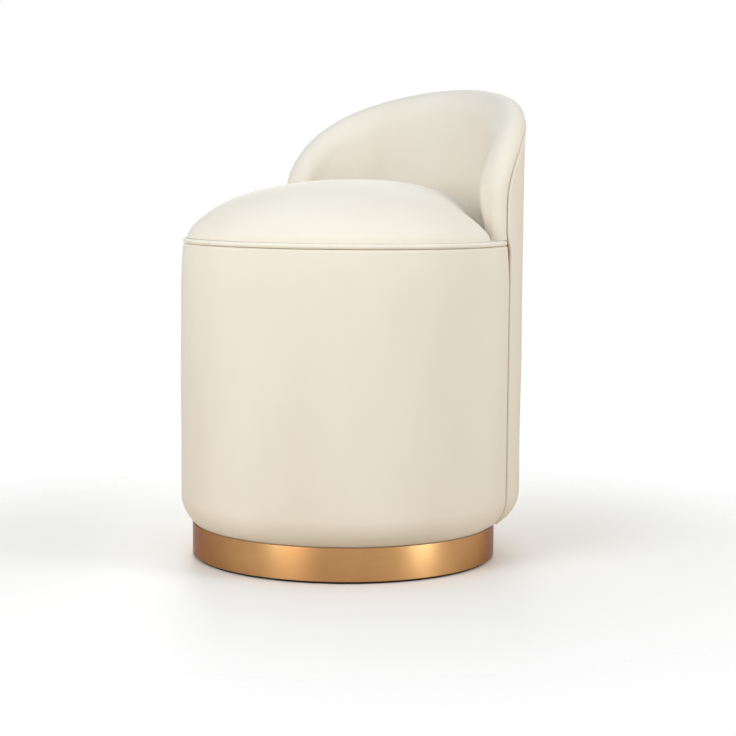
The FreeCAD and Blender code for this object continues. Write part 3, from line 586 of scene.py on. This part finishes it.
# Looks of the CAD pieces that stay, by their record slot
node_materials = {
    "pin_metal": speckled("pin_brass", srgb(214, 170, 104), srgb(172, 124, 66), 900.0, 0.32, 0.0001,
                          metallic=1.0),
    "floor_felt": speckled("black_felt", srgb(58, 54, 50), srgb(24, 22, 20), 1200.0, 0.92, 0.0006),
    "dust_cloth": speckled("black_nonwoven", srgb(52, 51, 52), srgb(26, 26, 27), 700.0, 0.85, 0.0004),
    "fibreboard": speckled("fibreboard_raw", srgb(186, 152, 110), srgb(148, 114, 78), 420.0, 0.78, 0.0003),
    "plywood": plywood_material("birch_plywood", srgb(222, 194, 150), srgb(178, 138, 92), 0.0015),
    "hardboard": speckled("hardboard_brown", srgb(134, 98, 66), srgb(98, 68, 44), 520.0, 0.7, 0.0003),
    "pine": speckled("pine_planed", srgb(226, 190, 136), srgb(190, 142, 88), 40.0, 0.62, 0.0004,
                     stretch=(9, 9, 0.6), detail=5.0),
    "screw_steel": speckled("zinc_steel", srgb(206, 204, 196), srgb(150, 148, 142), 800.0, 0.34, 0.0001,
                            metallic=1.0),
    "staple_steel": speckled("staple_wire", srgb(196, 196, 198), srgb(140, 140, 144), 1200.0, 0.38, 0.0001,
                             metallic=1.0),
}


# Drum: cloth over foam round the front, rolled in at the seams and tucked under the base

def rounding(radius, depth, count, low_depth=None):
    """The bottom rounding of a wall, a depth inside its outer face, which may differ at its low end."""
    if low_depth is None:
        low_depth = depth
    start = -math.asin((ROUND_CENTRE - UNDERSIDE - low_depth) / (ROUND_RADIUS - low_depth))
    points = []
    for share in spread(0, 1, count):
        bend = ROUND_RADIUS - low_depth - (depth - low_depth) * share
        turn = start * (1 - share)
        points.append((radius - ROUND_RADIUS + bend * math.cos(turn), ROUND_CENTRE + bend * math.sin(turn)))
    return points


def drum_wall(height):
    """Reach of the drum's wall at a height: it draws in towards the seat's piping."""
    shoulder = DRUM_TOP - DRAW_IN_HEIGHT
    if height <= shoulder:
        return DRUM_RADIUS
    bend = (DRAW_IN ** 2 + DRAW_IN_HEIGHT ** 2) / (2 * DRAW_IN)
    return DRUM_RADIUS - bend + math.sqrt(bend ** 2 - (height - shoulder) ** 2)


def ripple(angle, height, size):
    """Slow unevenness of the foam under the cloth."""
    turn = math.radians(angle)
    at = Vector((math.sin(turn) * RIPPLE_ROUND, math.cos(turn) * RIPPLE_ROUND, height / RIPPLE_HEIGHT))
    return size * noise.noise(at)


def make_drum():
    span = 360 - 2 * DRUM_SEAM - 2 * math.degrees(DRUM_SEAM_GAP / DRUM_RADIUS)
    start = 180 - span / 2
    length = math.radians(span) * DRUM_RADIUS
    # Rows lie closer together towards the top, where the cloth rolls in below the piping
    top_steps = [0, 0.25, 0.6, 1.1, 1.8, 2.7, 3.8, 5.0, 8.0, 13.0, 20.0, 28.0, 37.0, 48.0]
    heights = spread(ROUND_CENTRE, DRUM_TOP - DRAW_IN_HEIGHT, 26)[1:]
    heights += [DRUM_TOP - s for s in reversed(top_steps)]
    inside = [(FRAME_OUTER, DRUM_TOP), (FRAME_OUTER, WALL_MIDDLE), (FRAME_OUTER, WALL_BOTTOM),
              (FRAME_INNER, WALL_BOTTOM), (FRAME_INNER, UNDERSIDE + COVER),
              (FLANGE_RADIUS, UNDERSIDE + COVER)]
    loops = []
    for along in graded_edges(length, FINE_STEP, DRUM_STEP):
        angle = start + math.degrees(along / DRUM_RADIUS)
        edge = min(along, length - along)
        rolled = tuck(edge, DRUM_SIDE_ROLL)
        section = [(FLANGE_RADIUS, UNDERSIDE), (DRUM_FLANGE_MIDDLE, UNDERSIDE)]
        section += rounding(DRUM_RADIUS, rolled, ROUND_ROWS, min(rolled, LOW_ROLL))
        for height in heights:
            below = DRUM_TOP - height
            reach = drum_wall(height) - max(rolled, tuck(below, DRUM_TOP_ROLL))
            calm = smooth_step(edge / CALM_DRUM_SIDE) * smooth_step(below / CALM_DRUM_TOP)
            calm *= smooth_step((height - ROUND_CENTRE) / CALM_LOW)
            section.append((reach + calm * ripple(angle, height, DRUM_RIPPLE), height))
        loops.append([drum_spot(angle, reach, height) for reach, height in section + inside])
    piece = lofted("drum_upholstery", loops)
    dress(piece, "cover_fabric", cover_fabric, "drum_cover", "drum_foam")


# Seam between the rear panel, the back and the drum, unrolled: distance round the rear arc and height

def seam_line(gap):
    """The seam's run over the back, moved outward by a gap: points of (distance round, height)."""
    gap_turn = math.degrees(gap / REAR_RADIUS)
    end = HIGH_SEAM_TURN + gap_turn
    angles = [end * math.sin(math.radians(a)) for a in spread(-90, 90, 361)]
    over = [(math.radians(a) * REAR_RADIUS, arch(a, end, SEAM_TOP + gap, SEAM_POWER)) for a in angles]
    heights = spread(ARCH_SPRING, UNDERSIDE, 400)
    side = [(math.radians(seam_turn(h) + gap_turn) * REAR_RADIUS, h) for h in heights]
    other_side = [(-x, h) for x, h in reversed(side)]
    return np.array(other_side + over + side)


def seam_distance(line, angle, height):
    """Distance from a point of the rear arc to the nearest point of the seam."""
    here = np.array((math.radians(angle) * REAR_RADIUS, height))
    return float(np.sqrt(((line - here) ** 2).sum(axis=1).min()))


# Rear panel: one piece of cloth over foam and the back board, from the base up to the arch

def make_rear_panel():
    line = seam_line(-SEAM_GAP)
    gap_turn = math.degrees(SEAM_GAP / REAR_RADIUS)
    flange = FLANGE_RADIUS - REAR_CENTRE
    half_length = math.radians(LOW_SEAM_TURN - gap_turn) * REAR_RADIUS
    shift = 1.5 * SEAM_SHIFT_HALF
    board_heights = spread(SEAT_HEIGHT + shift, SEAT_HEIGHT - shift, 13)
    board_heights += [BACK_BOARD_MIDDLE, REAR_FOAM_BOTTOM]
    inside_rounding = [point for point in rounding(REAR_RADIUS, COVER, 6) if point[1] < REAR_FOAM_BOTTOM]
    loops = []
    for along in graded_edges(2 * half_length, FINE_STEP, REAR_STEP):
        share = along / half_length - 1
        top = arch(share, 1, SEAM_TOP - SEAM_GAP, SEAM_POWER)
        rolled = tuck(half_length * (1 - abs(share)), REAR_ROLL)
        section = [(flange, UNDERSIDE), (REAR_FLANGE_MIDDLE, UNDERSIDE)]
        section += rounding(REAR_RADIUS, rolled, ROUND_ROWS, min(rolled, LOW_ROLL))
        for step in spread(1, 0, 80)[1:]:
            height = top - (top - ROUND_CENTRE) * step ** 2
            angle = share * (seam_turn(height) - gap_turn)
            distance = seam_distance(line, angle, height)
            calm = smooth_step(distance / CALM_REAR_SEAM) * smooth_step((height - ROUND_CENTRE) / CALM_LOW)
            uneven = calm * ripple(angle + REAR_RIPPLE_SHIFT, height, REAR_RIPPLE)
            section.append((REAR_RADIUS - tuck(distance, REAR_ROLL) + uneven, height))
        section += [(BOARD_OUTER + REAR_ROOM, height) for height in [top] + board_heights]
        section += list(reversed(inside_rounding)) + [(flange, UNDERSIDE + COVER)]
        loops.append([rear_spot(share * (seam_turn(height) - gap_turn), reach, height)
                      for reach, height in section])
    piece = lofted("rear_upholstery", loops)
    dress(piece, "cover_fabric", cover_fabric, "rear_cover", "rear_foam")


# Back: padded inside wall that rolls over the top edge to the seam, with rounded arm ends

def back_angles(step_turn):
    """Angles of the back's sections, from end to end, with a step at the side seams."""
    blunt = ARM_END_ANGLE - math.degrees(ARM_TIP / REAR_RADIUS)
    hair = 0.01
    nose_shares = (0.06, 0.14, 0.24, 0.36, 0.48, 0.6, 0.72, 0.82, 0.9, 0.96, 1.0)
    half = [step_turn * math.sin(math.radians(a)) for a in spread(0, 90, 81)]
    half[-1] = step_turn - hair
    half += [step_turn + hair] + [step_turn + (blunt - step_turn) * s for s in nose_shares]
    return [-a for a in reversed(half[1:])] + half


def arm_pinch(angle, height):
    """How much of the back's inner padding is left: the arms thin out, and narrow at their feet."""
    taper = ARM_TAPER * smooth_step((abs(angle) - TAPER_START) / TAPER_RUN)
    near_end = smooth_step((abs(angle) - PINCH_START) / PINCH_RUN)
    near_foot = smooth_step((PINCH_TOP - height) / (PINCH_TOP - SOFT_BOTTOM))
    return (1 - taper) * (1 - ARM_PINCH * near_end * near_foot)


def back_held(at):
    """Where the back's cover is held: at its foot, behind its ridge and out towards the seam."""
    across = math.hypot(at.x, at.y - REAR_CENTRE) - RIDGE_REACH
    angle = math.degrees(math.atan2(at.x, at.y - REAR_CENTRE))
    below = arch(angle, ARM_END_ANGLE, BACK_TOP, RIDGE_POWER) - at.z
    if across > -HIND_HELD_FROM and below > HIND_HELD_BELOW:
        return 1.0
    near_seam = smooth_step((across + RIDGE_HELD_FROM) / RIDGE_HELD_RUN)
    return max(near_seam, 1 - smooth_step((at.z - SOFT_BOTTOM - BACK_FOOT_HELD) / BACK_FOOT_RUN))


def back_section(angle, line, step_turn):
    """The back's section at an angle: points of (distance out from the ridge, height)."""
    to_end = math.radians(ARM_END_ANGLE - abs(angle)) * RIDGE_REACH
    fullness = 1.0
    if to_end < ARM_NOSE:
        fullness = math.sqrt(1 - (1 - to_end / ARM_NOSE) ** 2)
    top = arch(angle, ARM_END_ANGLE, BACK_TOP, RIDGE_POWER)
    foot = SOFT_BOTTOM
    if abs(angle) < step_turn:
        foot = arch(angle, step_turn, SEAM_TOP + SEAM_GAP, SEAM_POWER)
    run_in = (BACK_DEPTH - RIDGE_INSET - BACK_SWELL) * fullness
    drop_in = ROLL_DEPTH * fullness
    run_out = RIDGE_INSET * fullness
    drop_out = min(max(ROLL_SHARE * (top - foot), ROLL_DROP), OUTER_ROLL) * fullness

    # Up the inside wall, over the ridge and down to the seam
    section = []
    for height in spread(SOFT_BOTTOM, top - drop_in, 36):
        calm = smooth_step((height - SOFT_BOTTOM) / CALM_BACK_FOOT)
        inner = -run_in - calm * ripple(angle + BACK_RIPPLE_SHIFT, height, BACK_RIPPLE) * fullness
        section.append((inner * arm_pinch(angle, height), height))
    for t in spread(0, 90, 14)[1:]:
        turn = math.radians(t)
        height = top - drop_in * (1 - math.sin(turn))
        section.append((-run_in * math.cos(turn) * arm_pinch(angle, height), height))
    for t in spread(0, 90, 12)[1:]:
        turn = math.radians(t)
        section.append((run_out * math.sin(turn), top - drop_out * (1 - math.cos(turn))))
    start = top - drop_out
    end = min(foot, start)
    for share in spread(1, 0, 14)[1:]:
        section.append((run_out, end + (start - end) * share ** OUTER_GRADE))

    # The cloth rolls in at the seam and comes down the board's face
    rolled = []
    for across, height in section:
        if across > 0:
            across -= tuck(seam_distance(line, angle, height), BACK_SEAM_ROLL)
        rolled.append((across, height))
    back_face = BOARD_INNER - BACK_ROOM - RIDGE_REACH
    return rolled + [(back_face, end + (SOFT_BOTTOM - end) * s) for s in (0.0, 0.5, 1.0)]


def make_back():
    line = seam_line(SEAM_GAP)
    step_turn = HIGH_SEAM_TURN + math.degrees(SEAM_GAP / REAR_RADIUS)
    loops = []
    for angle in back_angles(step_turn):
        section = back_section(angle, line, step_turn)
        loops.append([spot(angle, RIDGE_REACH + across, height, REAR_CENTRE) for across, height in section])
    piece = lofted("back_cushion", loops)
    swell(piece, back_held, BACK_PRESSURE, BACK_LONGEST_MOVE)
    dress(piece, "cover_fabric", cover_fabric, "back_cover", "back_pad")


# Seat: crowned cushion, round in front and narrower between the arms

def seat_outline(angle, step, inner):
    """Distance from the axis to the seat's edge: front circle, step in to the arms, and rear arc."""
    turn = math.radians(angle)
    if SEAT_FRONT_RADIUS * math.cos(turn) <= step:
        return SEAT_FRONT_RADIUS
    arc = REAR_CENTRE * math.cos(turn) + math.sqrt(inner ** 2 - (REAR_CENTRE * math.sin(turn)) ** 2)
    return max(arc, step / math.cos(turn))


def eased_outline(angle, step, inner, reach):
    """The seat's edge averaged over a range of angles, so that its corners round off."""
    total = 0.0
    weights = 0.0
    for k in range(-EASE_STEPS, EASE_STEPS + 1):
        weight = 1 + math.cos(math.pi * k / (EASE_STEPS + 1))
        near = min(abs(angle + reach * k / EASE_STEPS), 180)
        total += weight * seat_outline(near, step, inner)
        weights += weight
    return total / weights


def seat_loop(outline):
    """A closed loop from one half of it, given as points of (angle, reach, height)."""
    half = [spot(angle, reach, height) for angle, reach, height in outline]
    return half + mirrored(half[1:-1])


def seat_held(at):
    """Where the seat's cover is held: along its foot."""
    return 1 - smooth_step((at.z - SOFT_BOTTOM - SEAT_FOOT_HELD) / SEAT_FOOT_RUN)


def make_seat():
    # Angles lie closer together at the corners
    angles = spread(0, 52, 20) + spread(53, 84, 42) + spread(86.5, 180, 38)
    arm_step = REAR_CENTRE + INNER_RADIUS * math.cos(math.radians(ARM_END_ANGLE))
    step = arm_step - SEAT_CORNER_BACK
    inner = INNER_RADIUS - SEAT_BACK_ROOM
    edge = [eased_outline(a, step, inner, CORNER_EASE) for a in angles]
    calm = [eased_outline(a, step, inner, CROWN_EASE) for a in angles]

    # A thin flange of the cover lies on the seat board, under the feet of the arms and the back
    under = []
    for angle in angles:
        reach = seat_outline(angle, arm_step + SEAT_FLANGE, INNER_RADIUS + SEAT_FLANGE)
        if reach == SEAT_FRONT_RADIUS:
            reach += SEAT_FLARE - FLANGE_INSET + drum_plan(angle)
        under.append(reach)
    loops = []
    for drop in FLANGE_DROPS:
        loops.append(seat_loop([(a, r, SOFT_BOTTOM - drop) for a, r in zip(angles, under)]))
    loops.append(seat_loop([(a, r + SEAT_FLARE, SOFT_BOTTOM - SEAT_FOOT_DROP) for a, r in zip(angles, edge)]))

    # The crown's outline follows the corners at its edge and calms down towards its top
    for rise in [0, 0.7] + spread(2, 88, 44):
        turn = math.radians(rise)
        share = math.cos(turn) ** (2 / CROWN_POWER)
        height = SOFT_BOTTOM + CROWN_LIFT + SEAT_CROWN * math.sin(turn) ** (2 / CROWN_POWER)
        near_edge = share ** EDGE_POWER
        outline = []
        for angle, sharp, soft in zip(angles, edge, calm):
            fullness = 1 - (1 - CROWN_FULLNESS) * smooth_step((FULL_FROM - angle) / FULL_RUN)
            outline.append((angle, (soft + (sharp - soft) * near_edge) * share ** fullness, height))
        loops.append(seat_loop(outline))
    piece = lofted("seat_cushion", loops)
    swell(piece, seat_held, SEAT_PRESSURE, SEAT_LONGEST_MOVE)
    dress(piece, "cover_fabric", cover_fabric, "seat_cover", "seat_foam_base", "seat_foam_crown")


# Piping

def make_seat_piping():
    gap = math.degrees(2 * SEAM_GAP / DRUM_RADIUS)
    reach = DRUM_RADIUS - DRAW_IN - SEAT_PIPING_INSET
    path = [spot(a, reach + drum_plan(a), SEAT_HEIGHT + SEAT_PIPING_LIFT)
            for a in spread(DRUM_SEAM + gap, 360 - DRUM_SEAM - gap, 220)]
    piece = tube("seat_welt", path, SEAT_PIPING_RADIUS, 0.0)
    dress(piece, "piping_fabric", piping_fabric, "seat_piping")


def make_back_piping():
    proud = PIPING_PROUD - BACK_PIPING_RADIUS
    angles = [HIGH_SEAM_TURN * math.sin(math.radians(a)) for a in spread(-90, 90, 141)]
    over = []
    for angle in angles:
        height = arch(angle, HIGH_SEAM_TURN, SEAM_TOP, SEAM_POWER)
        over.append(spot(angle, REAR_RADIUS + proud, height, REAR_CENTRE))
    down = []
    for height in spread(ARCH_SPRING, ROUND_CENTRE, 90)[1:]:
        turn = seam_turn(height)
        down.append(spot(turn, rear_plan(turn, height) + proud, height, REAR_CENTRE))

    # Round the bottom edge and a little way under the drum
    side = down[-1].copy()
    bend = ROUND_RADIUS + proud
    inward = -spot(FLANK_TURN, 1, 0)
    sweep = math.asin((ROUND_CENTRE - UNDERSIDE - BACK_PIPING_RADIUS) / bend)
    for t in spread(0, sweep, ROUND_ROWS)[1:]:
        down.append(side + inward * bend * (1 - math.cos(t)) - Vector((0, 0, bend * math.sin(t))))
    down.append(down[-1] + inward * PIPING_RUN_UNDER + Vector((0, 0, PIPING_END_LIFT)))
    piece = tube("back_welt", mirrored(down) + over + down, BACK_PIPING_RADIUS, REAR_CENTRE)
    dress(piece, "piping_fabric", piping_fabric, "back_piping")


# Plinth band, with softened edges and a narrow joint at the rear

def make_band():
    low = BAND_BOTTOM + BAND_CORNER
    high = UNDERSIDE - BAND_CORNER
    inner = BAND_RADIUS - BAND_THICKNESS + BAND_CORNER
    outer = BAND_RADIUS - BAND_CORNER
    section = []
    for x, z, first in ((outer, low, -90), (outer, high, 0), (inner, high, 90), (inner, low, 180)):
        for turn in spread(first, first + 90, 5):
            section.append((x + BAND_CORNER * math.cos(math.radians(turn)),
                            z + BAND_CORNER * math.sin(math.radians(turn))))
    gap = math.degrees(BAND_GAP / 2 / BAND_RADIUS)
    loops = [[spot(a, reach, height) for reach, height in section] for a in spread(gap, 360 - gap, 241)]
    piece = lofted("metal_band", loops, sharp_angle=60)
    dress(piece, "band_metal", band_metal, "plinth_band")


make_drum()
make_rear_panel()
make_back()
make_seat()
make_seat_piping()
make_back_piping()
make_band()

for part in frame["record"]["subparts"]:
    material = node_materials.get(part["material_slot"])
    if material:
        node_slots = frame["nodes"][part["node"]].data.materials
        node_slots.clear()
        node_slots.append(material)


# Floor, light and camera, in metres

FLOOR_HALF = 2.0
FLOOR_SEEN = srgb(230, 227, 222)
FLOOR_BOUNCE = srgb(190, 174, 152)
FADE_START = 0.25
FADE_END = 0.8
WORLD_LIGHT = (1, 1, 0.92, 1)
WORLD_STRENGTH = 0.48
COOL_WHITE = (0.93, 0.95, 1.0)
SKY_BLUE = (0.3, 0.58, 1.0)
STRIP_BLUE = (0.45, 0.8, 1.0)
STRIP_DISTANCE = 1.6
STRIP_HEIGHT = 0.55
STRIP_TARGET = (0, 0, 0.1)

# The camera as fitted to the photo, with its focal length in the photo's pixels
PHOTO_WIDTH = 736
FOCAL_PIXELS = 1865.2
SENSOR_WIDTH = 36.0
CAMERA_AZIMUTH = 41.0
CAMERA_PITCH = 6.013
CAMERA_ROLL = 0.502
CAMERA_DISTANCE = 2.329
CAMERA_ASIDE = 0.0294
CAMERA_HEIGHT = 0.480


def seen_ray(tree):
    """1 for rays that show a surface to the camera, straight, by reflection or through glass, else 0."""
    path = add_node(tree, "ShaderNodeLightPath")
    seen = path.outputs["Is Camera Ray"]
    for kind in ("Is Glossy Ray", "Is Transmission Ray"):
        either = add_node(tree, "ShaderNodeMath", {0: seen, 1: path.outputs[kind]}, operation="MAXIMUM")
        seen = either.outputs[0]
    return seen


def make_floor():
    """A pale floor that fades into the backdrop away from the object and bounces a little warm light."""
    material, tree, shader = new_material("floor_white")
    set_inputs(tree, shader, {
        "Base Color": blended(tree, seen_ray(tree), FLOOR_BOUNCE, FLOOR_SEEN),
        "Roughness": 0.6,
    })
    coords = add_node(tree, "ShaderNodeTexCoord")
    away = add_node(tree, "ShaderNodeVectorMath", {0: coords.outputs["Object"]}, operation="LENGTH")
    fade = add_node(tree, "ShaderNodeMapRange",
                    {"Value": away.outputs["Value"], "From Min": FADE_START, "From Max": FADE_END},
                    interpolation_type="SMOOTHSTEP")
    clear = add_node(tree, "ShaderNodeBsdfTransparent")
    mix = add_node(tree, "ShaderNodeMixShader",
                   {0: fade.outputs["Result"], 1: shader.outputs[0], 2: clear.outputs[0]})
    tree.links.new(mix.outputs[0], tree.nodes["Material Output"].inputs["Surface"])
    corners = [(x * FLOOR_HALF, y * FLOOR_HALF, 0) for x, y in ((-1, -1), (1, -1), (1, 1), (-1, 1))]
    mesh = bpy.data.meshes.new("floor")
    mesh.from_pydata(corners, [], [(0, 1, 2, 3)])
    floor = bpy.data.objects.new("floor", mesh)
    floor.data.materials.append(material)
    scene.collection.objects.link(floor)


def make_world():
    """A white backdrop that lights the object less strongly than it is seen."""
    world = bpy.data.worlds.new("studio")
    scene.world = world
    world.use_nodes = True
    tree = world.node_tree
    tree.nodes.clear()
    light = add_node(tree, "ShaderNodeBackground", {"Color": WORLD_LIGHT, "Strength": WORLD_STRENGTH})
    backdrop = add_node(tree, "ShaderNodeBackground", {"Color": (1, 1, 1, 1), "Strength": 1.0})
    mix = add_node(tree, "ShaderNodeMixShader",
                   {0: seen_ray(tree), 1: light.outputs[0], 2: backdrop.outputs[0]})
    out = add_node(tree, "ShaderNodeOutputWorld")
    tree.links.new(mix.outputs[0], out.inputs["Surface"])


def area_light(name, place, target, size, power, colour=(1, 1, 1)):
    """A softbox that the camera doesn't see, turned to a target."""
    lamp = bpy.data.lights.new(name, "AREA")
    lamp.shape = "RECTANGLE"
    lamp.size, lamp.size_y = size
    lamp.energy = power
    lamp.color = colour
    thing = bpy.data.objects.new(name, lamp)
    thing.location = place
    thing.rotation_euler = (Vector(target) - Vector(place)).to_track_quat("-Z", "Y").to_euler()
    thing.visible_camera = False
    scene.collection.objects.link(thing)
    return thing


def gloss_strip(name, azimuth, size, power):
    """An upright softbox that only gloss shows: it stands round the object at an angle from the front."""
    turn = math.radians(azimuth)
    place = (STRIP_DISTANCE * math.sin(turn), -STRIP_DISTANCE * math.cos(turn), STRIP_HEIGHT)
    strip = area_light(name, place, STRIP_TARGET, size, power, STRIP_BLUE)
    strip.visible_diffuse = False


def make_camera():
    azimuth = math.radians(CAMERA_AZIMUTH)
    pitch = math.radians(CAMERA_PITCH)
    roll = math.radians(CAMERA_ROLL)
    right = Vector((math.cos(azimuth), math.sin(azimuth), 0))
    back = Vector((math.sin(azimuth), -math.cos(azimuth), 0))
    forward = -back * math.cos(pitch) - Vector((0, 0, math.sin(pitch)))
    up = right.cross(forward)
    turned_right = right * math.cos(roll) + up * math.sin(roll)
    turned_up = up * math.cos(roll) - right * math.sin(roll)
    data = bpy.data.cameras.new("photo_camera")
    data.sensor_width = SENSOR_WIDTH
    data.lens = FOCAL_PIXELS / PHOTO_WIDTH * SENSOR_WIDTH
    camera = bpy.data.objects.new("photo_camera", data)
    camera.matrix_world = Matrix((turned_right, turned_up, -forward)).transposed().to_4x4()
    camera.location = back * CAMERA_DISTANCE + right * CAMERA_ASIDE + Vector((0, 0, CAMERA_HEIGHT))
    scene.collection.objects.link(camera)
    scene.camera = camera


make_floor()
make_world()
area_light("front_softbox", (0.05, -1.45, 0.85), (0, 0, 0.3), (0.7, 0.9), 14.7, COOL_WHITE)
area_light("side_softbox", (1.6, 0.4, 0.95), (0, 0, 0.35), (0.7, 1.2), 15.5, COOL_WHITE)
area_light("top_softbox", (0.1, -0.35, 1.7), (0, -0.1, 0.45), (0.8, 0.8), 4.4, SKY_BLUE)
area_light("rear_fill", (-1.2, 1.2, 0.6), (0, 0, 0.3), (0.9, 0.9), 10.0)
gloss_strip("side_strip", 100.0, (0.4, 1.0), 6.5)
gloss_strip("front_strip", -9.0, (0.5, 1.0), 3.0)
make_camera()
scene.view_settings.view_transform = "Standard"
